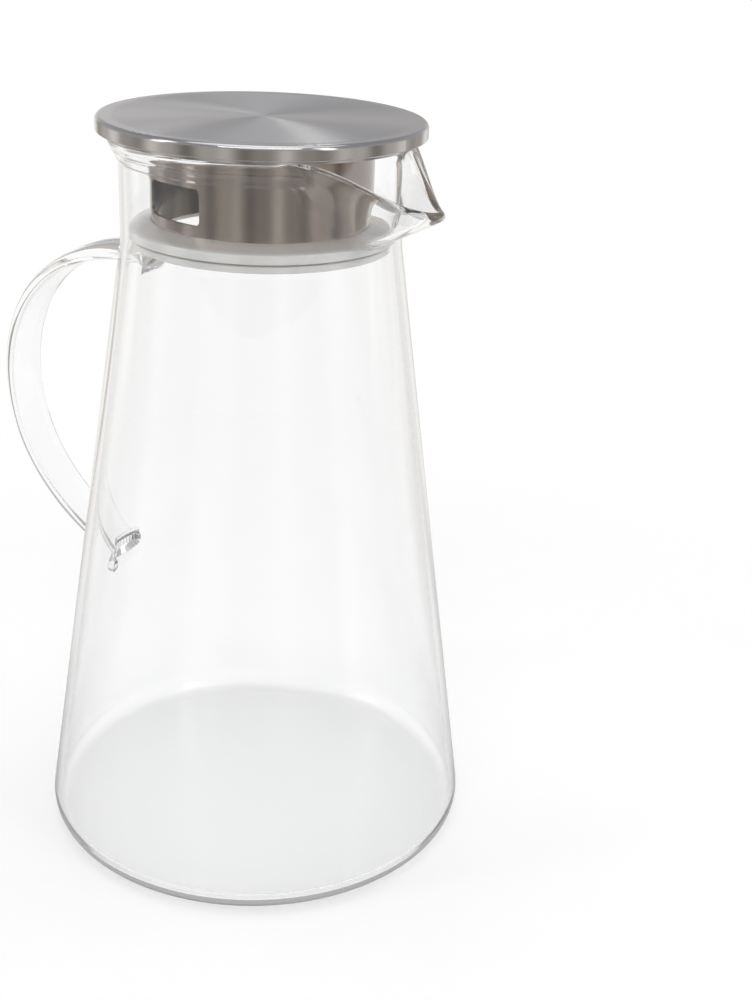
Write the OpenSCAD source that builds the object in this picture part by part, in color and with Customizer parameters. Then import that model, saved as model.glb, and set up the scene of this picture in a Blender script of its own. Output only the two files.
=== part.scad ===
// Glass pitcher with a steel lid that lifts off and turns.
// Sizes are in millimetres. The glass stands on Z = 0 and its axis is the Z axis.
// The spout points along +X and the handle along -X.

/* [Glass body] */
// Height of the glass rim above the table
glass_h = 234.3; // [226:0.1:255]
// Largest outer diameter, just above the base corner
base_d = 144; // [125:1:160]
// Outer radius of the corner between base and wall
base_corner_r = 7; // [5:0.5:12]
// Outer diameter of the straight neck
neck_d = 86.8; // [82:0.1:92]
// Height of the neck, from the rim down to where neck and cone would meet in a sharp corner
neck_h = 31.3; // [28:0.1:60]
// Radius that rounds that corner
shoulder_r = 35; // [15:1:60]
// Thickness of the blown wall
glass_wall = 2.3; // [1.8:0.1:3]
// Thickness of the floor
floor_t = 2.6; // [2:0.1:5]
// Height of the shallow hollow under the floor
push_up = 0.8; // [0.4:0.1:1.6]
// Width of the flat ring that the glass stands on
foot_ring_w = 8; // [4:0.5:20]

/* [Rim] */
// How far the rim stands out from the neck
rim_out = 3.1; // [2:0.1:5]
// Thickness of the fire-polished edge of the rim and spout
rim_t = 3; // [2.4:0.1:3.6]
// Height of the bend under the rim
flare_h = 6; // [4:0.5:8]
// Radius of the bend where the neck flares into the rim
flare_r = 9; // [5:0.5:14]

/* [Spout] */
// How far the tip of the spout stands out from the rim
spout_out = 17; // [12:0.5:24]
// How far the tip lies below the rim
spout_drop = 14.2; // [10:0.1:18]
// Radius of the pouring tip in plan, at the middle of the glass
spout_tip_r = 3; // [2.4:0.1:5]
// Radius of the keel under the spout in plan, at its root
spout_keel_r = 14; // [8:1:20]
// Height of the keel's root above the end of the shoulder
spout_root_h = 2.1; // [1.5:0.1:6]
// Radius of the bend between the neck and the keel
spout_bend_r = 3; // [2.5:0.1:5]
// How full the sides of the spout are: 0 is a straight funnel, more is a rounder trough
spout_bulge = 0.6; // [0:0.1:2]
// Angle from the keel at which the trough of the spout has run out into the neck
spout_trough = 40; // [32:1:46]

/* [Handle] */
// Distance from the axis to the outer face of the handle
handle_reach = 106.8; // [96:0.5:120]
// How far the upper foot lies below the corner of the neck
handle_drop = 11.5; // [8:0.5:24]
// Distance in height between the two feet
handle_span = 112; // [95:1:125]
// How far the furthest point of the handle lies below the upper foot
handle_turn_l = 53.2; // [42:0.1:62]
// Angle at which the strap comes down to the lower foot, in degrees
handle_low_angle = 27; // [10:1:40]
// Width of the strap
strap_w = 15.2; // [12:0.1:20]
// Thickness of the strap
strap_t = 4.3; // [3.5:0.1:6]
// Thickness of the upper foot
top_foot_t = 8; // [6:0.5:10]
// Thickness of the lower foot
low_foot_t = 4.5; // [4.3:0.1:8]
// Length over which the upper foot thins into the strap
top_foot_l = 38; // [20:1:45]
// Length over which the lower foot thins into the strap
low_foot_l = 22; // [12:1:30]
// Extra thickness on each face of the upper foot where it is fused to the wall
top_weld_t = 1.8; // [1:0.1:3]
// The same at the lower foot
low_weld_t = 0.3; // [0.1:0.1:2]
// Length of the fused fillet along the strap
weld_l = 6; // [4:0.5:10]
// Length of the glass drop that the lower foot ends in
drop_l = 8.8; // [7:0.1:12]
// Largest diameter of that drop
drop_d = 3.6; // [3:0.1:5]
// How far the drop's axis lies outside the wall
drop_off = 1.1; // [0.6:0.1:1.4]

/* [Lid] */
// How far the lid overhangs the rim
lid_overhang = 3.5; // [2:0.1:6]
// Height of the side of the lid
lid_side_h = 4.4; // [4:0.1:8]
// Radius of the upper edge of the lid
lid_edge_r = 1.4; // [1.2:0.1:2]
// Thickness of the steel sheet of the lid and its under plate
lid_sheet = 0.8; // [0.6:0.1:1]
// Width of the hem that is turned in under the lid's side
hem_w = 2; // [1.5:0.1:3]
// How far the under plate stands below the side of the lid
plate_step = 1; // [0.6:0.1:1.5]
// Gap between the under plate and the steel around it
plate_fit = 0.05; // [0.02:0.01:0.1]
// Gap between the under plate and the glass rim
seat_gap = 0.3; // [0.2:0.05:0.6]

/* [Collar] */
// Width of the channel between the collar and the inside of the neck
channel_w = 6.9; // [5.5:0.1:9]
// Thickness of the collar's wall
collar_wall = 0.8; // [0.6:0.1:1.2]
// Height of the collar below the under plate
collar_h = 30.2; // [28:0.1:36]
// Radius of the rolled bead at the collar's lower edge
bead_r = 0.8; // [0.6:0.1:1]
// Width of the pouring window, measured straight across
window_w = 24; // [16:0.5:30]
// Height of the pouring window
window_h = 10.7; // [8:0.1:14]
// Radius of the window's corners
window_corner_r = 1.6; // [1:0.1:3]
// Height of the window's sill above the collar's lower edge
window_sill_h = 8.4; // [7.5:0.1:12]
// Direction that the window faces, in degrees from the spout
window_turn = -106.5; // [-180:0.5:180]

/* [Seal] */
// Height of the seal's grip on the collar
seal_grip_h = 4.3; // [3:0.1:6]
// Thickness of the seal's ring around the collar
seal_ring_t = 2.6; // [2:0.1:3.4]
// Thickness of the upper fin at its edge
upper_fin_t = 3; // [2:0.1:4]
// Thickness of the lower fin at its edge
lower_fin_t = 2.3; // [1.6:0.1:3]
// Gap between the two fins at their edges
fin_gap = 0.5; // [0.4:0.1:1]
// How far the fins droop from the collar to the glass
fin_droop = 1.8; // [1:0.1:3]
// How much smaller the lower fin's radius is
lower_fin_step = 0.9; // [0.5:0.1:2]
// Gap between the upper fin and the glass
seal_gap = 0.3; // [0.25:0.05:0.6]
// Gap between the seal's ring and the collar
seal_fit = 0.05; // [0.02:0.01:0.1]

/* [Hidden] */
$fn = 96;

// Steps of the curves
corner_steps = 8;
ring_steps = 144;
sector_steps = 22;
round_steps = 50;
bend_steps = 4;
blade_steps = 6;
edge_steps = 6;
strap_steps = 15;
strap_sides = 20;

// One overrun for every cut
over = 1;

// Glass body: radii at the middle of the wall, and heights
neck_r = neck_d / 2;
shoulder_h = glass_h - neck_h;
base_r = base_d / 2;
corner_x = base_r - base_corner_r;
neck_mid_r = neck_r - glass_wall / 2;
rim_r = neck_r + rim_out;
rim_mid_r = rim_r - rim_t / 2;
rim_mid_z = glass_h - rim_t / 2;
flare_z = glass_h - flare_h;
floor_z = push_up + floor_t;

// Lean of the cone that runs from the base corner to the neck's corner, in degrees
cone_dx = neck_r - corner_x;
cone_dz = shoulder_h - base_corner_r;
cone_lean = atan2(cone_dz, cone_dx) - acos(base_corner_r / norm([cone_dx, cone_dz]));
shoulder_end = shoulder_h + shoulder_r * tan(cone_lean / 2);

// Inner corner between floor and wall
inner_corner_r = base_corner_r - glass_wall;
inner_corner_z = floor_z + inner_corner_r;
inner_corner_x = corner_x - (inner_corner_z - base_corner_r) * tan(cone_lean);

// Spout: middle of the glass at the tip, and the sector that the spout takes
tip_mid_r = rim_r + spout_out - rim_t / 2;
keel_z = shoulder_end + spout_root_h;
spout_half = tangent_angle(spout_keel_r);
tangent_x = rim_mid_r * cos(tangent_angle(spout_tip_r));
// The sector's angles crowd towards the tip by this power
crowding = 1.8;
// The neck's root: how deep it sits in the lower glass, and how far inside its wall
root_l = 0.5;
root_inset = 0.05;
// Small steps for the surface's slopes, in degrees and in stations
slope_angle = 0.04;
slope_station = 0.001;

// Handle: where its centreline starts, turns and ends
handle_mid_r = handle_reach - strap_t / 2;
handle_top_h = shoulder_h - handle_drop;
handle_mid_h = handle_top_h - handle_turn_l;
handle_low_h = handle_top_h - handle_span;
foot_sink = glass_wall / 2;
top_foot_r = wall_r(handle_top_h) - foot_sink;
low_foot_r = wall_r(handle_low_h) - foot_sink;
// Lengths of the centreline's tangents, as shares of the handle's own spans
top_pull_share = 0.62;
top_turn_share = 0.55;
low_turn_share = 0.55;
low_pull_share = 0.49;
top_pull = top_pull_share * (handle_mid_r - top_foot_r);
top_turn = top_turn_share * (handle_top_h - handle_mid_h);
low_turn = low_turn_share * (handle_mid_h - handle_low_h);
low_pull = low_pull_share * (handle_mid_r - low_foot_r);
// Roundness of the strap's section: 2 is an ellipse, more is squarer
strap_power = 3.6;
foot_power = 2.2;
// Outline of the glass drop: shares of its length and of its radius, from tail to end
drop_shares = [[0, 0], [0.08, 0.3], [0.3, 0.52], [0.55, 0.8], [0.75, 1], [0.88, 0.9], [0.96, 0.58], [1, 0]];

// Lid: levels from the glass rim up
plate_z = glass_h + seat_gap;
lid_r = rim_r + lid_overhang;
lid_low_z = plate_z + plate_step;
lid_top_z = lid_low_z + lid_side_h;
hem_edge_r = lid_sheet / 2;
plate_wall_r = lid_r - hem_w - plate_fit;
flange_r = lid_r - lid_sheet - plate_fit;

// Collar and seal: levels from the under plate down
collar_r = neck_r - glass_wall - channel_w;
collar_low_z = plate_z - collar_h;
seal_in_r = collar_r + seal_fit;
seal_out_r = neck_r - glass_wall - seal_gap;
seal_ring_r = seal_in_r + seal_ring_t;
bead_out_r = collar_r + bead_r + seal_fit;
bead_top_z = collar_low_z + 2 * bead_r;
seal_low_z = bead_top_z + seal_fit;
seal_top_z = seal_low_z + seal_grip_h - bead_r;
fin_edge_z = seal_top_z - fin_droop;

// A smooth step from 0 to 1
function ease(u) = let(v = max(0, min(1, u))) v * v * (3 - 2 * v);

function unit(v) = v / norm(v);

// A point on a cubic curve with four control points, and the curve's direction there
function on_cubic(p, t) =
    pow(1 - t, 3) * p[0] + 3 * pow(1 - t, 2) * t * p[1] + 3 * (1 - t) * t * t * p[2] + pow(t, 3) * p[3];
function cubic_way(p, t) =
    unit(pow(1 - t, 2) * (p[1] - p[0]) + 2 * (1 - t) * t * (p[2] - p[1]) + t * t * (p[3] - p[2]));

// Points of an arc from one angle to another
function arc(x, z, r, from, to, steps) =
    [for (k = [0:steps]) let(a = from + (to - from) * k / steps) [x + r * cos(a), z + r * sin(a)]];

// Outer radius of the wall at a height
function cone_r(z) = neck_r + (shoulder_h - z) * tan(cone_lean);
function wall_r(z) = max(neck_r, cone_r(z));

// Half of the angle that the spout takes when its tip has a radius in plan
function tangent_angle(tip) = acos((rim_mid_r - tip) / (tip_mid_r - tip));

// Plan of the spout: the rim's circle and the tip's circle, joined by two tangents
function plan_r(angle, tip) =
    let(side = tangent_angle(tip),
        centre = tip_mid_r - tip,
        turn = abs(angle),
        round_end = atan2(tip * sin(side), centre + tip * cos(side)))
    turn >= side ? rim_mid_r
    : turn >= round_end ? rim_mid_r / cos(side - turn)
    : centre * cos(turn) + sqrt(tip * tip - pow(centre * sin(turn), 2));

// Height of the edge of the glass: level round the rim, falling along the spout
function edge_z(angle) =
    let(x = plan_r(angle, spout_tip_r) * cos(angle))
    rim_mid_z - spout_drop * ease((x - tangent_x) / (tip_mid_r - tangent_x));

// 0 along the keel, 1 beside the trough of the spout and all round the rim
function away(angle) = ease(pow(min(1, abs(angle) / spout_trough), 2));

// Middle of the glass above the shoulder. Station 0 to 1 is the straight neck, 1 to 2 the
// bend, and 2 to 3 the blade up to the edge.
function glass_mid(angle, station) =
    let(w = away(angle),
        corner = [neck_mid_r, keel_z + (flare_z - keel_z) * w],
        edge = [plan_r(angle, spout_tip_r), edge_z(angle)],
        blade = edge - corner,
        lean = atan2(blade[0], blade[1]),
        wanted = (spout_bend_r + (flare_r - spout_bend_r) * w) * tan(lean / 2),
        reach = min(wanted, corner[1] - shoulder_end, norm(blade) / 2),
        bend = reach / tan(lean / 2),
        low = corner[1] - reach,
        p = station <= 1 ? [neck_mid_r, shoulder_end + (low - shoulder_end) * station]
            : station <= 2 ? [neck_mid_r + bend * (1 - cos(lean * (station - 1))),
                              low + bend * sin(lean * (station - 1))]
            : corner + unit(blade) * (reach + (norm(blade) - reach) * (station - 2)),
        rise = (p[0] - neck_mid_r) / (edge[0] - neck_mid_r),
        tip = spout_keel_r + (spout_tip_r - spout_keel_r) * rise,
        flank = pow(min(1, abs(angle) / spout_half), 2),
        full = 1 - pow(max(0, 1 - rise), 1 + spout_bulge * 4 * flank * (1 - flank)),
        r = neck_mid_r + full * (plan_r(angle, tip) - neck_mid_r))
    [r * cos(angle), r * sin(angle), p[1]];

function along(angle, station) =
    glass_mid(angle + slope_angle, station) - glass_mid(angle - slope_angle, station);
function upward(angle, station) =
    glass_mid(angle, station + slope_station) - glass_mid(angle, station - slope_station);
function outward(angle, station) = unit(cross(along(angle, station), upward(angle, station)));

// Half of the glass at a station: the wall's thickness below, the edge's above
function half_wall(station) =
    (glass_wall + (rim_t - glass_wall) * ease(station - 2)) / 2 - root_inset * max(0, 1 - station);

// A point of the neck's root, which sits inside the wall of the lower glass
function root_point(angle, half) =
    [(neck_mid_r + half) * cos(angle), (neck_mid_r + half) * sin(angle), shoulder_end - root_l];

stations = concat([0], [for (k = [0:bend_steps]) 1 + k / bend_steps],
                  [for (k = [1:blade_steps]) 2 + k / blade_steps]);

// The glass above the shoulder, cut at an angle: outer face, round edge, inner face
function neck_section(angle) =
    let(last = len(stations) - 1,
        edge = glass_mid(angle, 3),
        out = outward(angle, 3),
        over_edge = cross(out, unit(along(angle, 3))))
    concat(
        [root_point(angle, half_wall(0))],
        [for (k = [0:last]) glass_mid(angle, stations[k]) + half_wall(stations[k]) * outward(angle, stations[k])],
        [for (k = [1:edge_steps - 1]) let(a = 180 * k / edge_steps)
            edge + rim_t / 2 * (cos(a) * out + sin(a) * over_edge)],
        [for (k = [last:-1:0]) glass_mid(angle, stations[k]) - half_wall(stations[k]) * outward(angle, stations[k])],
        [root_point(angle, -half_wall(0))]);

// Outer outline of the glass from the foot ring to the end of the shoulder
function outer_outline() = concat(
    arc(corner_x, base_corner_r, base_corner_r, -90, cone_lean, corner_steps),
    arc(neck_r + shoulder_r, shoulder_end, shoulder_r, 180 + cone_lean, 180, corner_steps));

// Inner outline of the glass from the end of the shoulder down to the floor
function inner_outline() = concat(
    arc(neck_r + shoulder_r, shoulder_end, shoulder_r + glass_wall, 180, 180 + cone_lean, corner_steps),
    arc(inner_corner_x, inner_corner_z, inner_corner_r, cone_lean, -90, corner_steps));

// The blown body below the neck, standing on a flat ring
module lower_glass() {
    rotate_extrude($fn = ring_steps)
        polygon(concat(
            [[0, push_up], [corner_x - foot_ring_w - push_up, push_up], [corner_x - foot_ring_w, 0]],
            outer_outline(), inner_outline(), [[0, floor_z]]));
}

// The neck, the flared rim and the pouring spout that is pulled out of them
module neck_glass() {
    round_step = (360 - 2 * spout_half) / (round_steps + 1);
    angles = concat(
        [for (k = [-sector_steps:sector_steps]) spout_half * sign(k) * pow(abs(k) / sector_steps, crowding)],
        [for (k = [1:round_steps]) spout_half + k * round_step]);
    sections = [for (a = angles) neck_section(a)];
    rows = len(angles);
    n = len(sections[0]);
    polyhedron(
        points = [for (s = sections) each s],
        faces = [for (i = [0:rows - 1], j = [0:n - 1], half = [0, 1])
            let(p = i * n + j, q = i * n + (j + 1) % n, next = ((i + 1) % rows) * n,
                p2 = next + j, q2 = next + (j + 1) % n)
            half == 0 ? [p, q, q2] : [p, q2, p2]],
        convexity = 6);
}

module glass_body() {
    color([0.86, 0.93, 0.92, 0.4])
        union() {
            lower_glass();
            neck_glass();
        }
}

// Centreline of the handle in its plane: distance from the axis, and height
upper_strap = [
    [top_foot_r, handle_top_h], [top_foot_r + top_pull, handle_top_h],
    [handle_mid_r, handle_mid_h + top_turn], [handle_mid_r, handle_mid_h]];
lower_strap = [
    [handle_mid_r, handle_mid_h], [handle_mid_r, handle_mid_h - low_turn],
    [low_foot_r + low_pull * cos(handle_low_angle), handle_low_h + low_pull * sin(handle_low_angle)],
    [low_foot_r, handle_low_h]];

// How much of a foot is left at a distance from the wall
function foot_left(distance, length) = pow(1 - pow(max(0, min(1, distance / length)), 2), 2);

// One cross-section of the strap, set square to its centreline
function strap_ring(curve, t, foot_t, foot_l, weld_t) =
    let(p = on_cubic(curve, t),
        way = cubic_way(curve, t),
        off = p[0] - wall_r(p[1]),
        foot = foot_left(off, foot_l),
        thick = strap_t + (foot_t - strap_t) * foot + 2 * weld_t * foot_left(off, weld_l),
        power = 2 / (strap_power + (foot_power - strap_power) * foot))
    [for (k = [0:strap_sides - 1])
        let(a = 360 * k / strap_sides,
            side = strap_w / 2 * sign(cos(a)) * pow(abs(cos(a)), power),
            up = thick / 2 * sign(sin(a)) * pow(abs(sin(a)), power))
        [-(p[0] - way[1] * up), side, p[1] + way[0] * up]];

// The flat strap of the handle, from inside the wall at one foot to inside it at the other
module strap() {
    rings = concat(
        [for (k = [0:strap_steps]) strap_ring(upper_strap, k / strap_steps, top_foot_t, top_foot_l, top_weld_t)],
        [for (k = [1:strap_steps]) strap_ring(lower_strap, k / strap_steps, low_foot_t, low_foot_l, low_weld_t)]);
    rows = len(rings);
    n = strap_sides;
    skin = [for (i = [0:rows - 2], j = [0:n - 1], half = [0, 1])
        let(p = i * n + j, q = i * n + (j + 1) % n)
        half == 0 ? [p, q, q + n] : [p, q + n, p + n]];
    polyhedron(
        points = [for (r = rings) each r],
        faces = concat(skin, [[for (j = [n - 1:-1:0]) j]], [[for (j = [0:n - 1]) (rows - 1) * n + j]]),
        convexity = 4);
}

// The drop of glass that the strap was pulled off with, at one end of the lower foot
module glass_drop() {
    side = strap_w / 2 - drop_d / 4;
    top_z = handle_low_h + low_foot_t / 2;
    translate([-norm([wall_r(top_z), side]) - drop_off, -side, top_z])
        rotate([0, cone_lean, 0])
            mirror([0, 0, 1])
                rotate_extrude($fn = strap_sides)
                    polygon([for (s = drop_shares) [s[1] * drop_d / 2, s[0] * drop_l]]);
}

module glass_handle() {
    color([0.86, 0.93, 0.92, 0.4])
        difference() {
            union() {
                strap();
                glass_drop();
            }
            rotate_extrude($fn = ring_steps)
                polygon(concat([[0, 0]], outer_outline(), [[0, shoulder_end]]));
        }
}

// The drawn steel top of the lid, with its lower edge turned in as a hem
module lid_cap() {
    color([0.72, 0.73, 0.74])
        rotate_extrude($fn = ring_steps)
            polygon(concat(
                [[0, lid_top_z]],
                arc(lid_r - lid_edge_r, lid_top_z - lid_edge_r, lid_edge_r, 90, 0, corner_steps),
                arc(lid_r - hem_edge_r, lid_low_z + hem_edge_r, hem_edge_r, 0, -90, corner_steps),
                [[lid_r - hem_w, lid_low_z], [lid_r - hem_w, lid_low_z + lid_sheet],
                 [lid_r - lid_sheet, lid_low_z + lid_sheet]],
                arc(lid_r - lid_edge_r, lid_top_z - lid_edge_r, lid_edge_r - lid_sheet, 0, 90, corner_steps),
                [[0, lid_top_z - lid_sheet]]));
}

// The steel pan that closes the lid from below and rests on the hem
module lid_plate() {
    color([0.66, 0.66, 0.66])
        rotate_extrude($fn = ring_steps)
            polygon([
                [0, plate_z], [plate_wall_r, plate_z], [plate_wall_r, lid_low_z + lid_sheet],
                [flange_r, lid_low_z + lid_sheet],
                [flange_r, lid_low_z + 2 * lid_sheet],
                [plate_wall_r - lid_sheet, lid_low_z + 2 * lid_sheet],
                [plate_wall_r - lid_sheet, plate_z + lid_sheet], [0, plate_z + lid_sheet]]);
}

// A rectangle with round corners, centred
module round_window(w, h, r) {
    square([w - 2 * r, h], center = true);
    square([w, h - 2 * r], center = true);
    for (x = [-1, 1], y = [-1, 1])
        translate([x * (w / 2 - r), y * (h / 2 - r)])
            circle(r);
}

// The steel collar with its pouring window and the bead that holds the seal
module collar() {
    color([0.60, 0.57, 0.54])
        difference() {
            rotate_extrude($fn = ring_steps)
                polygon(concat(
                    [[collar_r - collar_wall, plate_z], [collar_r - collar_wall, collar_low_z]],
                    arc(collar_r, collar_low_z + bead_r, bead_r, -90, 90, corner_steps),
                    [[collar_r, plate_z]]));
            rotate([0, 0, window_turn])
                translate([0, 0, collar_low_z + window_sill_h + window_h / 2])
                    rotate([90, 0, 90])
                        linear_extrude(collar_r + over)
                            round_window(window_w, window_h, window_corner_r);
        }
}

// The silicone seal: a ring on the collar with two drooping fins
module seal() {
    lower_out_r = seal_out_r - lower_fin_step;
    groove_z = fin_edge_z - upper_fin_t;
    lower_z = groove_z - fin_gap;
    low_edge_z = lower_z - lower_fin_t;
    fin_soft_r = lower_fin_t / 4;
    color([0.90, 0.90, 0.87])
        rotate_extrude($fn = ring_steps)
            polygon(concat(
                [[seal_in_r, seal_low_z], [seal_in_r, seal_top_z]],
                arc(seal_out_r - fin_soft_r, fin_edge_z - fin_soft_r, fin_soft_r, 90, 0, edge_steps),
                arc(seal_out_r - fin_soft_r, groove_z + fin_soft_r, fin_soft_r, 0, -90, edge_steps),
                [[seal_ring_r, groove_z + fin_droop / 2], [seal_ring_r, lower_z + fin_droop / 2]],
                arc(lower_out_r - fin_soft_r, lower_z - fin_soft_r, fin_soft_r, 90, 0, edge_steps),
                arc(lower_out_r - fin_soft_r, low_edge_z + fin_soft_r, fin_soft_r, 0, -90, edge_steps),
                [[seal_ring_r, low_edge_z + fin_droop / 2], [bead_out_r, low_edge_z + fin_droop / 2],
                 [bead_out_r, seal_low_z]]));
}

glass_body();
glass_handle();
lid_cap();
lid_plate();
collar();
seal();
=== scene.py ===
"""Glass pitcher with a steel lid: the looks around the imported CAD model. Metres, in the CAD's frame.
The spout points along +X, the handle along -X, and the pitcher stands on Z = 0."""
import math

import bmesh
import bpy
import numpy as np
from mathutils import Matrix


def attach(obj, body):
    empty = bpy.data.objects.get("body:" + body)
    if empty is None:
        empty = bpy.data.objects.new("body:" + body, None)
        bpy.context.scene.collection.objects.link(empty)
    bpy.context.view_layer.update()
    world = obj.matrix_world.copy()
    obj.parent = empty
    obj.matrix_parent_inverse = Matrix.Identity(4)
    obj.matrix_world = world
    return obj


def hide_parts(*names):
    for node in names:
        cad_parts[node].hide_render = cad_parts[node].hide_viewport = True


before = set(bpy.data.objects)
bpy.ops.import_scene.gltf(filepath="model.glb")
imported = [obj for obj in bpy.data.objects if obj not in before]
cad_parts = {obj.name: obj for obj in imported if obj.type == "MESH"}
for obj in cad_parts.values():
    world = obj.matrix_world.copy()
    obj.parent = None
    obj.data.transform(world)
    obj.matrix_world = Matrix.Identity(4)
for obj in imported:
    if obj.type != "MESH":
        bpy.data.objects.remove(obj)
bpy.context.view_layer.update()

MM = 0.001

# The camera stands at the photograph's viewing angle, a little above the lid
camera_data = bpy.data.cameras.new("camera")
camera_data.sensor_width = 36.0
camera_data.lens = 53.104
camera_data.clip_start = 0.01
camera_data.clip_end = 50.0
camera = bpy.data.objects.new("camera", camera_data)
bpy.context.scene.collection.objects.link(camera)
RIGHT = (0.85132, 0.52318, 0.03940)
UP = (-0.24009, 0.32170, 0.91590)
AHEAD = (-0.46650, 0.78918, -0.39947)
PLACE = (0.2633, -0.3691, 0.3126)
camera.matrix_world = Matrix([
    [RIGHT[i], UP[i], -AHEAD[i], PLACE[i]] for i in range(3)] + [[0, 0, 0, 1]])
bpy.context.scene.camera = camera
bpy.context.scene.view_settings.view_transform = "Standard"

# The glass in millimetres, from the values of the CAD source
glass_h, base_d, base_corner_r, neck_d = 234.3, 144.0, 7.0, 86.8
shoulder_h, shoulder_r, glass_wall, floor_t = 203.0, 35.0, 2.3, 2.6
push_up, foot_ring_w = 0.8, 8.0
rim_d, rim_t, flare_h, flare_r = 93.0, 3.0, 6.0, 9.0
spout_reach, spout_drop, spout_tip_r, spout_keel_r = 63.5, 14.2, 3.0, 14.0
spout_root_h, spout_bend_r, spout_bulge, spout_trough = 2.1, 3.0, 0.6, math.radians(40)
handle_reach, handle_mid_h, handle_top_h, handle_low_h = 106.8, 138.3, 191.5, 79.5
handle_low_angle, strap_w, strap_t = math.radians(27.0), 15.2, 4.3
top_foot_t, top_foot_l, low_foot_l = 8.0, 38.0, 22.0
top_weld_t, low_weld_t, weld_l, drop_l = 1.8, 0.3, 6.0, 8.8

# Forms that are finer here than in the CAD source, because clear glass shows them as lines of light
rim_bead = 0.5  # how far the fire-polished rim stands proud
bead_start, bead_rise, bead_end, bead_fall = 1.3, 0.25, 2.3, 0.7  # in stations of the wall
bead_clear, bead_blend = 0.85, 0.3  # where it fades beside the spout, in shares of the trough's angle
spout_soft_r = 22.0  # how much wider the bend is half-way up the sides of the trough
hollow_r = 12.0  # where the hollow under the floor starts to run down to the foot ring
low_foot_t = 3.5
drop_d, drop_off = 4.6, 1.3

# Steps of the round shapes
sector_steps, sector_crowd, rest_steps = 44, 1.8, 168
hollow_steps, base_steps, cone_steps, shoulder_steps, floor_steps, edge_steps = 16, 14, 12, 6, 12, 12
bend_steps, blade_steps = 20, 14
strap_sides, strap_steps, drop_sides = 44, 56, 24
neck_stations = [0, 0.35, 0.7]
floor_ring_r = (56.0, 40.0, 20.0, 3.0)
centre_r, ring_round = 3.0, 3.0

# The handle's curve: how far each control point reaches, as a share of the way
top_pull, mid_pull, low_pull = 0.62, 0.55, 0.49
strap_round, foot_round = 3.6, 2.2  # powers of the cross-section, from a soft oblong to an oval

# The drop from its neck down: share of its length, and share of its radius
drop_form = [
    (0.02, 0.12), (0.08, 0.3), (0.18, 0.42), (0.3, 0.52), (0.42, 0.65), (0.55, 0.8), (0.65, 0.92),
    (0.75, 1.0), (0.82, 0.98), (0.88, 0.9), (0.93, 0.74), (0.97, 0.5), (0.99, 0.26)]

neck_r = neck_d / 2
corner_x = base_d / 2 - base_corner_r
neck_mid_r = neck_r - glass_wall / 2
rim_mid_r = rim_d / 2 - rim_t / 2
rim_mid_z = glass_h - rim_t / 2
flare_z = glass_h - flare_h
floor_z = push_up + floor_t
cone_dx = neck_r - corner_x
cone_dz = shoulder_h - base_corner_r
lean = math.atan2(cone_dz, cone_dx) - math.acos(base_corner_r / math.hypot(cone_dx, cone_dz))
shoulder_end = shoulder_h + shoulder_r * math.tan(lean / 2)
inner_corner_r = base_corner_r - glass_wall
inner_corner_z = floor_z + inner_corner_r
inner_corner_x = corner_x - (inner_corner_z - base_corner_r) * math.tan(lean)
tip_mid_r = spout_reach - rim_t / 2
keel_z = shoulder_end + spout_root_h


def ease(u):
    v = max(0.0, min(1.0, u))
    return v * v * (3 - 2 * v)


def unit(v):
    return v / np.linalg.norm(v)


def wall_r(z):
    """Outer radius of the cone at a height."""
    return max(neck_r, neck_r + (shoulder_h - z) * math.tan(lean))


def tangent_angle(tip):
    """Where the straight side of the spout's plan touches the rim, for a tip of this radius."""
    return math.acos((rim_mid_r - tip) / (tip_mid_r - tip))


spout_half = tangent_angle(spout_keel_r)
tangent_x = rim_mid_r * math.cos(tangent_angle(spout_tip_r))


def plan_r(angle, tip):
    """Radius of the rim's plan: a circle, a straight side and the round tip of the spout."""
    side = tangent_angle(tip)
    centre = tip_mid_r - tip
    turn = abs(angle)
    round_end = math.atan2(tip * math.sin(side), centre + tip * math.cos(side))
    if turn >= side:
        return rim_mid_r
    if turn >= round_end:
        return rim_mid_r / math.cos(side - turn)
    return centre * math.cos(turn) + math.sqrt(tip * tip - (centre * math.sin(turn)) ** 2)


def glass_mid(angle, station):
    """Middle of the wall above the shoulder, at a station: 0-1 neck, 1-2 bend, 2-3 blade."""
    w = ease(min(1.0, abs(angle) / spout_trough) ** 2)
    edge_r = plan_r(angle, spout_tip_r)
    fall = ease((edge_r * math.cos(angle) - tangent_x) / (tip_mid_r - tangent_x))
    edge_z = rim_mid_z - spout_drop * fall
    corner = (neck_mid_r, keel_z + (flare_z - keel_z) * w)
    blade = (edge_r - corner[0], edge_z - corner[1])
    length = math.hypot(*blade)
    tilt = math.atan2(blade[0], blade[1])
    bend_r = spout_bend_r + (flare_r - spout_bend_r) * w + spout_soft_r * 4 * w * (1 - w)
    reach = min(bend_r * math.tan(tilt / 2), corner[1] - shoulder_end, length / 2)
    bend = reach / math.tan(tilt / 2)
    low = corner[1] - reach
    if station <= 1:
        p = (neck_mid_r, shoulder_end + (low - shoulder_end) * station)
    elif station <= 2:
        t = tilt * (station - 1)
        p = (neck_mid_r + bend * (1 - math.cos(t)), low + bend * math.sin(t))
    else:
        s = (reach + (length - reach) * (station - 2)) / length
        p = (corner[0] + blade[0] * s, corner[1] + blade[1] * s)
    rise = (p[0] - neck_mid_r) / (edge_r - neck_mid_r)
    tip = spout_keel_r + (spout_tip_r - spout_keel_r) * rise
    flank = min(1.0, abs(angle) / spout_half) ** 2
    full = 1 - max(0.0, 1 - rise) ** (1 + spout_bulge * 4 * flank * (1 - flank))
    r = neck_mid_r + full * (plan_r(angle, tip) - neck_mid_r)
    return np.array([r * math.cos(angle), r * math.sin(angle), p[1]])


def slopes(angle, station):
    """The way round the wall and the way out of it, at one point of its middle."""
    da, ds = math.radians(0.04), 0.001
    along = glass_mid(angle + da, station) - glass_mid(angle - da, station)
    upward = glass_mid(angle, station + ds) - glass_mid(angle, station - ds)
    return unit(along), unit(np.cross(along, upward))


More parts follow.
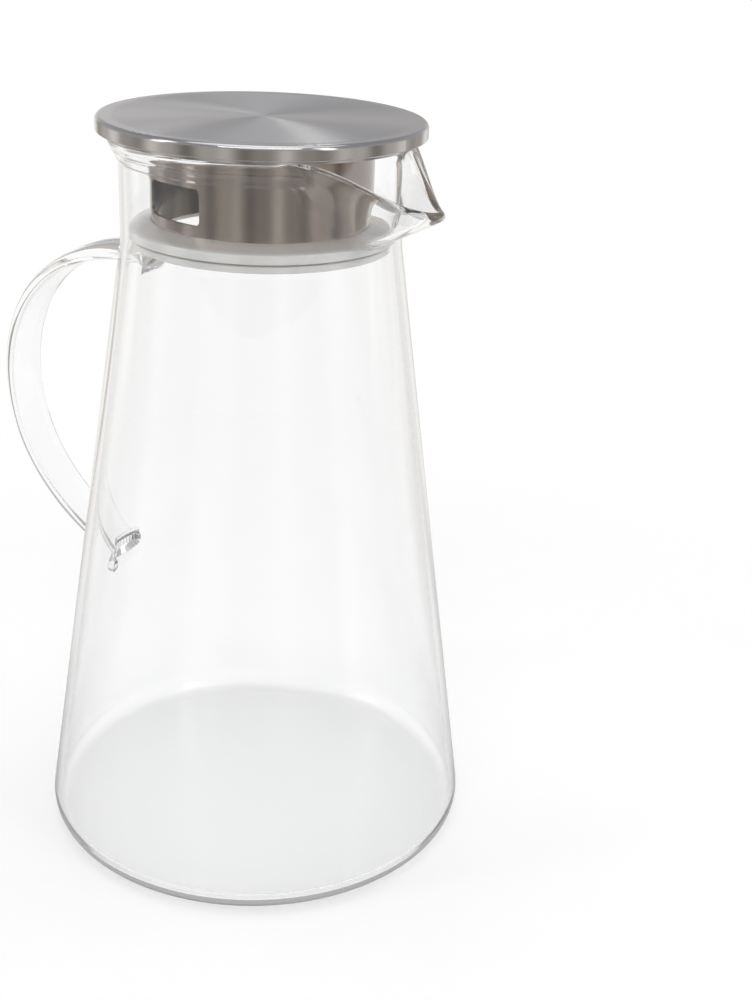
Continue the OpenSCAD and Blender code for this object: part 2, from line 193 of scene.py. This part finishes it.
def half_wall(station):
    return (glass_wall + (rim_t - glass_wall) * ease(station - 2)) / 2


def bead(angle, station):
    """How far the outer face stands proud under the rim, clear of the spout."""
    clear = ease((abs(angle) / spout_trough - bead_clear) / bead_blend)
    rise = ease((station - bead_start) / bead_rise)
    return rim_bead * clear * rise * (1 - ease((station - bead_end) / bead_fall))


def arc(x, z, r, start, end, steps):
    angles = [start + (end - start) * k / steps for k in range(steps + 1)]
    return [(x + r * math.cos(a), z + r * math.sin(a)) for a in angles]


def between(start, end, steps):
    """The inner points of a straight line, without its two ends."""
    (x0, z0), (x1, z1) = start, end
    return [(x0 + (x1 - x0) * k / steps, z0 + (z1 - z0) * k / steps) for k in range(1, steps)]


def closed_tube(name, rings):
    """A closed mesh from rings of points in millimetres, with a fan over the first and the last ring."""
    rows, n = len(rings), len(rings[0])
    points = [tuple(float(c) * MM for c in p) for ring in rings for p in ring]
    faces = []
    for i in range(rows - 1):
        for j in range(n):
            q = (j + 1) % n
            faces.append((i * n + j, i * n + q, (i + 1) * n + q, (i + 1) * n + j))
    for row, flip in ((0, True), (rows - 1, False)):
        middle = np.mean(np.array(rings[row], float), axis=0)
        points.append(tuple(float(c) * MM for c in middle))
        last = len(points) - 1
        for j in range(n):
            a, b = row * n + j, row * n + (j + 1) % n
            faces.append((b, a, last) if flip else (a, b, last))
    mesh = bpy.data.meshes.new(name)
    mesh.from_pydata(points, [], faces)
    mesh.update()
    bm = bmesh.new()
    bm.from_mesh(mesh)
    bmesh.ops.recalc_face_normals(bm, faces=bm.faces)
    bm.to_mesh(mesh)
    bm.free()
    obj = bpy.data.objects.new(name, mesh)
    bpy.context.scene.collection.objects.link(obj)
    return obj


def outer_profile():
    """Outer face below the neck, from the middle of the underside up: (radius, height)."""
    ring_in = corner_x - foot_ring_w
    profile = [(centre_r, push_up)]
    profile += [(hollow_r + (ring_in - hollow_r) * k / hollow_steps, push_up * (1 - ease(k / hollow_steps)))
                for k in range(hollow_steps + 1)]
    profile.append((ring_in + ring_round, 0.0))
    profile += arc(corner_x, base_corner_r, base_corner_r, -math.pi / 2, lean, base_steps)
    shoulder = arc(neck_r + shoulder_r, shoulder_end, shoulder_r, math.pi + lean, math.pi, shoulder_steps)
    return profile + between(profile[-1], shoulder[0], cone_steps) + shoulder[:-1]


def inner_profile():
    """Inner face below the neck, from the neck down to the middle of the floor: (radius, height)."""
    shoulder = arc(neck_r + shoulder_r, shoulder_end, shoulder_r + glass_wall, math.pi, math.pi + lean,
                   shoulder_steps)
    corner = arc(inner_corner_x, inner_corner_z, inner_corner_r, lean, -math.pi / 2, floor_steps)
    floor_rings = [(r, floor_z) for r in floor_ring_r]
    return shoulder[1:] + between(shoulder[-1], corner[0], cone_steps) + corner + floor_rings


def make_body():
    """The blown body with its neck, rim and spout: one closed wall, its steps crowded in the spout."""
    angles = [spout_half * math.copysign((abs(k) / sector_steps) ** sector_crowd, k)
              for k in range(-sector_steps, sector_steps + 1)]
    step = (2 * math.pi - 2 * spout_half) / (rest_steps + 1)
    angles += [spout_half + k * step for k in range(1, rest_steps + 1)]
    outer, inner = outer_profile(), inner_profile()
    stations = neck_stations + [1 + k / bend_steps for k in range(bend_steps + 1)]
    stations += [2 + k / blade_steps for k in range(1, blade_steps + 1)]
    edge_turns = [math.pi * k / edge_steps for k in range(1, edge_steps)]
    columns = []
    for a in angles:
        ca, sa = math.cos(a), math.sin(a)
        column = [(r * ca, r * sa, z) for r, z in outer]
        faces = [(glass_mid(a, s), half_wall(s), slopes(a, s)[1]) for s in stations]
        column += [m + (h + bead(a, s)) * out for s, (m, h, out) in zip(stations, faces)]
        edge = glass_mid(a, 3)
        along, out = slopes(a, 3)
        over_edge = np.cross(out, along)
        column += [edge + rim_t / 2 * (math.cos(t) * out + math.sin(t) * over_edge) for t in edge_turns]
        column += [m - h * out for m, h, out in reversed(faces)]
        column += [(r * ca, r * sa, z) for r, z in inner]
        columns.append(column)
    rings = [[column[j] for column in columns] for j in range(len(columns[0]))]
    return closed_tube("glass", rings)


def on_cubic(p, t):
    s = 1 - t
    return s ** 3 * p[0] + 3 * s * s * t * p[1] + 3 * s * t * t * p[2] + t ** 3 * p[3]


def cubic_way(p, t):
    s = 1 - t
    return unit(s * s * (p[1] - p[0]) + 2 * s * t * (p[2] - p[1]) + t * t * (p[3] - p[2]))


def foot_share(distance, length):
    """How much of a foot or a weld is left at a distance from the wall."""
    return (1 - max(0.0, min(1.0, distance / length)) ** 2) ** 2


def make_handle():
    """The flat strap on two curves that meet at its furthest point, swelling towards both feet."""
    mid = handle_reach - strap_t / 2
    sink = glass_wall / 2  # both ends lie inside the wall, to be joined with it
    top_r, low_r = wall_r(handle_top_h) - sink, wall_r(handle_low_h) - sink
    low_way = low_pull * (mid - low_r)
    upper = [np.array(p, float) for p in (
        (top_r, handle_top_h),
        (top_r + top_pull * (mid - top_r), handle_top_h),
        (mid, handle_mid_h + mid_pull * (handle_top_h - handle_mid_h)),
        (mid, handle_mid_h))]
    lower = [np.array(p, float) for p in (
        (mid, handle_mid_h),
        (mid, handle_mid_h - mid_pull * (handle_mid_h - handle_low_h)),
        (low_r + low_way * math.cos(handle_low_angle), handle_low_h + low_way * math.sin(handle_low_angle)),
        (low_r, handle_low_h))]

    def ring(curve, t, foot_t, foot_l, weld_t):
        p, way = on_cubic(curve, t), cubic_way(curve, t)
        off = p[0] - wall_r(p[1])
        foot = foot_share(off, foot_l)
        thick = strap_t + (foot_t - strap_t) * foot + 2 * weld_t * foot_share(off, weld_l)
        power = 2 / (strap_round + (foot_round - strap_round) * foot)
        out = []
        for k in range(strap_sides):
            a = 2 * math.pi * (k + 0.5) / strap_sides
            side = strap_w / 2 * math.copysign(abs(math.cos(a)) ** power, math.cos(a))
            up = thick / 2 * math.copysign(abs(math.sin(a)) ** power, math.sin(a))
            out.append((-(p[0] - way[1] * up), side, p[1] + way[0] * up))
        return out

    rings = [ring(upper, k / strap_steps, top_foot_t, top_foot_l, top_weld_t) for k in range(strap_steps + 1)]
    rings += [ring(lower, k / strap_steps, low_foot_t, low_foot_l, low_weld_t)
              for k in range(1, strap_steps + 1)]
    return closed_tube("strap", rings)


def make_drop():
    """The drop of glass that hangs down the wall from one corner of the lower foot."""
    side = strap_w / 2 - drop_d / 4
    top_z = handle_low_h + low_foot_t / 2
    x0 = -math.hypot(wall_r(top_z), side) - drop_off
    rings = []
    for length_share, radius_share in drop_form:
        r, z = radius_share * drop_d / 2, -length_share * drop_l
        ring = []
        for k in range(drop_sides):
            a = 2 * math.pi * k / drop_sides
            x, y = r * math.cos(a), r * math.sin(a)
            ring.append((x0 + x * math.cos(lean) + z * math.sin(lean), y - side,
                         top_z - x * math.sin(lean) + z * math.cos(lean)))
        rings.append(ring)
    return closed_tube("drop", rings)


def make_glass():
    """Body, handle and drop, fused into one piece."""
    body, parts = make_body(), [make_handle(), make_drop()]
    for part in parts:
        join = body.modifiers.new("join", "BOOLEAN")
        join.operation, join.solver, join.object = "UNION", "EXACT", part
    evaluated = body.evaluated_get(bpy.context.evaluated_depsgraph_get())
    mesh = bpy.data.meshes.new_from_object(evaluated)
    body.modifiers.clear()
    body.data = mesh
    for part in parts:
        bpy.data.objects.remove(part)
    mesh.shade_smooth()
    body.name = "glass_pitcher"
    return body


class Nodes:
    """Short hand for making a node tree."""

    def __init__(self, name, world=False):
        owner = bpy.data.worlds.new(name) if world else bpy.data.materials.new(name)
        owner.use_nodes = True
        self.owner, self.tree = owner, owner.node_tree
        self.tree.nodes.clear()

    def add(self, kind, values=None, **settings):
        node = self.tree.nodes.new(kind)
        for key, value in settings.items():
            setattr(node, key, value)
        for key, value in (values or {}).items():
            self.put(node.inputs[key], value)
        return node

    def put(self, socket, value):
        if isinstance(value, bpy.types.NodeSocket):
            self.tree.links.new(value, socket)
        else:
            socket.default_value = value

    def math(self, operation, *values):
        return self.add("ShaderNodeMath", dict(enumerate(values)), operation=operation).outputs[0]

    def noise(self, vector, scale, detail=3.0, rough=0.5):
        node = self.add("ShaderNodeTexNoise", {
            "Vector": vector, "Scale": scale, "Detail": detail, "Roughness": rough})
        return node.outputs["Fac"]

    def ramp(self, value, stops):
        node = self.add("ShaderNodeValToRGB", {"Fac": value})
        elements = node.color_ramp.elements
        while len(elements) < len(stops):
            elements.new(0.5)
        for element, (place, color) in zip(elements, stops):
            element.position = place
            element.color = (*color, 1)
        return node.outputs["Color"]

    def greys(self, value, stops):
        return self.ramp(value, [(place, (grey, grey, grey)) for place, grey in stops])

    def span(self, value, low, high, to_low, to_high):
        node = self.add("ShaderNodeMapRange", {
            "Value": value, "From Min": low, "From Max": high, "To Min": to_low, "To Max": to_high})
        return node.outputs["Result"]

    def scaled(self, vector, scale):
        return self.add("ShaderNodeMapping", {"Vector": vector, "Scale": scale}).outputs["Vector"]

    def axes(self, vector):
        return self.add("ShaderNodeSeparateXYZ", {0: vector}).outputs

    def length(self, vector):
        return self.add("ShaderNodeVectorMath", {0: vector}, operation="LENGTH").outputs["Value"]

    def radius(self, place):
        """Distance from the pitcher's axis."""
        return self.length(self.scaled(place, (1.0, 1.0, 0.0)))

    def place(self):
        return self.add("ShaderNodeTexCoord").outputs["Object"]

    def bump(self, height, strength, distance):
        node = self.add("ShaderNodeBump", {"Height": height, "Strength": strength, "Distance": distance})
        return node.outputs["Normal"]

    def mix_color(self, factor, first, second, blend="MIX"):
        node = self.add("ShaderNodeMix", {0: factor, 6: first, 7: second}, data_type="RGBA", blend_type=blend)
        return node.outputs[2]

    def mix_shader(self, factor, first, second):
        return self.add("ShaderNodeMixShader", {0: factor, 1: first, 2: second}).outputs[0]

    def glow(self, color, strength):
        return self.add("ShaderNodeEmission", {"Color": color, "Strength": strength}).outputs[0]

    def sky(self, color, strength):
        return self.add("ShaderNodeBackground", {"Color": color, "Strength": strength}).outputs[0]

    def surface(self, shader):
        kind = "World" if isinstance(self.owner, bpy.types.World) else "Material"
        self.add("ShaderNodeOutput" + kind, {"Surface": shader})
        return self.owner


WHITE = (1, 1, 1, 1)

# Where the looks change, as distances from the axis in metres
LID_POLISH = (0.0445, 0.0465)  # satin within, polished beyond
LID_SMOOTH = (0.0435, 0.046)  # the circular grooves run out
COLLAR_SHADED_INSIDE = (0.0335, 0.0337)  # within the wall of the collar, where the inside is painted dark as painted shade
SEAL_TOP_PAINTED = (0.0392, 0.0400)  # the top of the fin, as far as its edge: painted shade and a painted reflection of the steel
FLOOR_WHITE = (0.12, 0.4)  # the floor runs into white

# The room's pale strips by direction: how many, their shift in radians, and their strength
ROOM_LEVEL = 0.56
ROOM_STRIPS = [(1.0, 4.09, 0.15), (8.0, 5.46, 0.25), (19.0, 0.5, 0.1)]


def glass_material():
    """Clear glass with slow waves, faintly darker where one looks along its wall."""
    n = Nodes("clear_glass")
    p = n.place()
    slow = n.noise(n.scaled(p, (1.0, 1.0, 0.35)), 26.0, 1.0, 0.4)
    tint = n.ramp(slow, [(0.3, (0.995, 0.996, 0.996)), (0.7, (0.988, 0.990, 0.990))])
    facing = n.add("ShaderNodeLayerWeight", {"Blend": 0.3}).outputs["Facing"]
    edge = n.ramp(facing, [
        (0.0, (1, 1, 1)), (0.5, (0.995, 0.995, 0.995)),
        (0.85, (0.97, 0.975, 0.975)), (1.0, (0.88, 0.885, 0.885))])
    shader = n.add("ShaderNodeBsdfPrincipled", {
        "Base Color": n.mix_color(1.0, tint, edge, "MULTIPLY"), "Transmission Weight": 1.0, "IOR": 1.47,
        "Roughness": n.span(slow, 0.3, 0.7, 0.0, 0.012),
        "Normal": n.bump(slow, 0.22, 0.0006)})
    # Shadow rays pass with a loss along the wall, and so does light that is caught inside the glass
    shade = n.greys(facing, [(0.0, 1.0), (0.3, 0.985), (0.5, 0.9), (0.7, 0.45), (1.0, 0.1)])
    clear = n.add("ShaderNodeBsdfTransparent", {"Color": shade})
    path = n.add("ShaderNodeLightPath").outputs
    caught = n.math("MAXIMUM", n.math("GREATER_THAN", path["Glossy Depth"], 2.5),
                    n.math("GREATER_THAN", path["Ray Depth"], 9.5))
    passes = n.math("MAXIMUM", path["Is Shadow Ray"], caught)
    return n.surface(n.mix_shader(passes, shader.outputs[0], clear.outputs[0]))


def turned_steel(name, color, light, rough, grain, inside=None):
    """Satin steel with fine circular lines round the axis. They are spaced by radius and height on the lid,
    whose rounded edge is polished, and by height on the collar, whose inside is painted dark as painted
    shade."""
    n = Nodes(name)
    p = n.place()
    height, radius = n.axes(p)[2], n.radius(p)
    lid = inside is None
    line = n.add("ShaderNodeCombineXYZ", {"X": radius if lid else 0.0, "Y": height, "Z": 0.0}).outputs[0]
    fine = n.noise(line, grain, 4.0, 0.7)
    broad = n.noise(p, 18.0, 3.0, 0.5)
    base = n.mix_color(n.math("MULTIPLY_ADD", fine, 0.6, n.math("MULTIPLY", broad, 0.4)), color, light)
    matt = n.span(fine, 0.2, 0.8, 0.85 * rough, 1.2 * rough)
    if lid:
        polished = n.span(radius, *LID_POLISH, 1.0, 0.55)
        matt = n.math("MULTIPLY", matt, polished)
        depth = n.span(radius, *LID_SMOOTH, 1.0, 0.1)
        grooves = n.bump(n.math("MULTIPLY", fine, depth), 0.08, 0.00002)
    else:
        # Painted shade: the collar's inside is much darker than its outside
        base = n.mix_color(n.span(radius, *COLLAR_SHADED_INSIDE, 1.0, 0.0), base, inside)
        grooves = n.bump(fine, 0.02, 0.00002)
    tangent = n.add("ShaderNodeTangent", direction_type="RADIAL", axis="Z").outputs[0]
    shader = n.add("ShaderNodeBsdfPrincipled", {
        "Base Color": base, "Metallic": 1.0, "Anisotropic": 0.85, "Anisotropic Rotation": 0.25,
        "Roughness": matt, "Normal": grooves, "Tangent": tangent})
    return n.surface(shader.outputs[0])


def silicone():
    """Milky silicone with a glossy skin. On top, beside the steel, it is painted darker and warmer: painted
    shade under the lid and a painted reflection of the steel.
    """
    n = Nodes("silicone")
    p = n.place()
    soft = n.noise(p, 60.0, 3.0, 0.5)
    milky = n.ramp(soft, [(0.3, (0.85, 0.86, 0.845)), (0.7, (0.92, 0.92, 0.905))])
    # Painted shade and a painted reflection of the steel: the top of the fin turns darker and warmer towards
    # the collar
    painted_shade_and_reflection = n.span(n.radius(p), *SEAL_TOP_PAINTED, 1.0, 0.0)
    shader = n.add("ShaderNodeBsdfPrincipled", {
        "Base Color": n.mix_color(painted_shade_and_reflection, milky, (0.76, 0.71, 0.66, 1)),
        "Roughness": n.span(soft, 0.3, 0.7, 0.2, 0.3),
        "Subsurface Weight": 0.35, "Subsurface Radius": (0.004, 0.004, 0.0035), "Subsurface Scale": 1.0,
        "Coat Weight": 1.0, "Coat Roughness": 0.1, "Coat IOR": 2.0,
        "Normal": n.bump(n.noise(p, 900.0, 2.0), 0.05, 0.0001)})
    return n.surface(shader.outputs[0])


def studio_tone(n, x, y):
    """The room round the pitcher, as steel and glass mirror it: pale and dark strips by direction."""
    turn = n.math("ARCTAN2", y, x)
    tone = ROOM_LEVEL
    for strips, shift, strength in ROOM_STRIPS:
        wave = n.math("COSINE", n.math("MULTIPLY_ADD", turn, strips, shift))
        tone = n.math("MULTIPLY_ADD", wave, strength, tone)
    return n.ramp(tone, [
        (0.0, (0.14, 0.128, 0.115)), (0.3, (0.36, 0.337, 0.305)), (0.6, (0.60, 0.568, 0.525)),
        (0.85, (0.90, 0.87, 0.83)), (1.0, (1, 0.99, 0.97))])


def floor_material():
    """A pale floor that runs into white. It keeps the pitcher's shadow near the base."""
    n = Nodes("floor")
    p = n.place()
    x, y, _ = n.axes(p)
    start, end = FLOOR_WHITE
    far = n.add("ShaderNodeMapRange", {"Value": n.length(p), "From Min": start, "From Max": end},
                interpolation_type="SMOOTHSTEP").outputs["Result"]
    grain = n.noise(p, 8.0, 2.0)
    path = n.add("ShaderNodeLightPath").outputs
    # As light and steel meet it
    plain_floor = n.add("ShaderNodeBsdfDiffuse", {"Color": n.greys(grain, [(0.0, 0.61), (1.0, 0.65)])})
    # As it is seen straight or through the glass: as white as the backdrop
    white_floor = n.add("ShaderNodeBsdfDiffuse", {"Color": n.greys(grain, [(0.0, 0.85), (1.0, 0.89)])})
    lift = n.glow(WHITE, n.math("MULTIPLY_ADD", path["Is Transmission Ray"], 0.07, 0.25))
    lifted = n.add("ShaderNodeAddShader", {0: white_floor.outputs[0], 1: lift}).outputs[0]
    # The steel inside the glass mirrors the room once: its rays cross the glass on both ways
    mirrored = n.math("MULTIPLY", n.math("COMPARE", path["Glossy Depth"], 1.0, 0.5),
                      n.math("GREATER_THAN", path["Transmission Depth"], 3.5))
    straight = n.math("MAXIMUM", path["Is Camera Ray"], path["Is Transmission Ray"])
    clear = n.math("MULTIPLY", straight, n.math("SUBTRACT", 1.0, mirrored))
    seen = n.math("MAXIMUM", straight, path["Is Glossy Ray"])
    near = n.mix_shader(clear, plain_floor.outputs[0], lifted)
    distance = n.mix_shader(clear, n.glow(studio_tone(n, x, y), 1.0), n.glow(WHITE, 1.0))
    return n.surface(n.mix_shader(n.math("MULTIPLY", far, seen), near, distance))


def studio_world():
    """White to the camera, a soft light on the pitcher, and a room for steel and glass to mirror."""
    n = Nodes("studio", world=True)
    x, y, z = n.axes(n.add("ShaderNodeTexCoord").outputs["Generated"])
    high = n.ramp(z, [
        (0.0, (0.56, 0.56, 0.56)), (0.25, (0.51, 0.51, 0.532)), (0.7, (0.37, 0.373, 0.39)),
        (1.0, (0.46, 0.463, 0.48))])
    room = n.sky(n.mix_color(n.span(z, 0.02, 0.25, 0.0, 1.0), studio_tone(n, x, y), high), 1.0)
    path = n.add("ShaderNodeLightPath").outputs
    mirrored = n.math("MAXIMUM", path["Is Glossy Ray"], path["Is Transmission Ray"])
    lit = n.mix_shader(mirrored, n.sky(WHITE, 0.55), room)
    return n.surface(n.mix_shader(path["Is Camera Ray"], lit, n.sky(WHITE, 1.0)))


glass = make_glass()
glass.data.materials.clear()
glass.data.materials.append(glass_material())
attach(glass, "pitcher")
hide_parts("glass_body", "glass_handle")

lid_steel = turned_steel("lid_steel", (0.475, 0.466, 0.468, 1), (0.595, 0.586, 0.588, 1), 0.30, 1400.0)
# The collar's steel is painted darker and warmer than the lid's as painted shade under the lid, and its
# inside darker still as painted shade within the collar
collar_steel = turned_steel("collar_steel", (0.29, 0.258, 0.234, 1), (0.365, 0.326, 0.298, 1), 0.14, 260.0,
                            inside=(0.11, 0.098, 0.086, 1))
looks = {"lid_cap": lid_steel, "lid_plate": lid_steel, "collar": collar_steel, "seal": silicone()}
for node, material in looks.items():
    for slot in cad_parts[node].material_slots:
        slot.material = material

# The floor lies a hair below the glass, so that the two faces don't fight
floor_half, floor_drop = 12.0, 0.0001
floor_mesh = bpy.data.meshes.new("floor")
floor_mesh.from_pydata([
    (-floor_half, -floor_half, 0), (floor_half, -floor_half, 0),
    (floor_half, floor_half, 0), (-floor_half, floor_half, 0)], [], [(0, 1, 2, 3)])
floor = bpy.data.objects.new("floor", floor_mesh)
bpy.context.scene.collection.objects.link(floor)
floor.location.z = -floor_drop
floor_mesh.materials.append(floor_material())

bpy.context.scene.world = studio_world()


def lamp(name, place, aim_z, size, power, through_glass=True):
    """A flat lamp that faces the pitcher's axis at a height."""
    data = bpy.data.lights.new(name, "AREA")
    data.shape = "RECTANGLE"
    data.size, data.size_y = size
    data.energy = power
    obj = bpy.data.objects.new(name, data)
    place = np.array(place, float)
    back = unit(place - np.array((0, 0, aim_z)))
    overhead = abs(back[2]) > 0.99
    side = np.array((1.0, 0, 0)) if overhead else unit(np.cross((0, 0, 1.0), back))
    up = np.cross(back, side)
    obj.matrix_world = Matrix([[side[i], up[i], back[i], place[i]] for i in range(3)] + [[0, 0, 0, 1]])
    obj.visible_transmission = through_glass
    bpy.context.scene.collection.objects.link(obj)


lamp("top_light", (0.0, 0.0, 1.5), 0.1, (1.2, 1.2), 5.0)
lamp("left_light", (-0.75, -0.95, 0.75), 0.12, (0.22, 0.9), 1.6)
lamp("right_light", (1.15, -0.2, 0.7), 0.12, (0.22, 0.9), 1.6)
# These give the lid its two wedges of light and its bright edge, and don't show in the glass
lamp("lid_light_right", (-0.58, 1.0, 0.83), 0.24, (0.07, 0.07), 0.16, through_glass=False)
lamp("lid_light_left", (-0.87, 0.8, 0.79), 0.24, (0.07, 0.07), 0.09, through_glass=False)
lamp("edge_light", (0.55, -0.85, 1.35), 0.24, (1.3, 0.1), 2.5, through_glass=False)
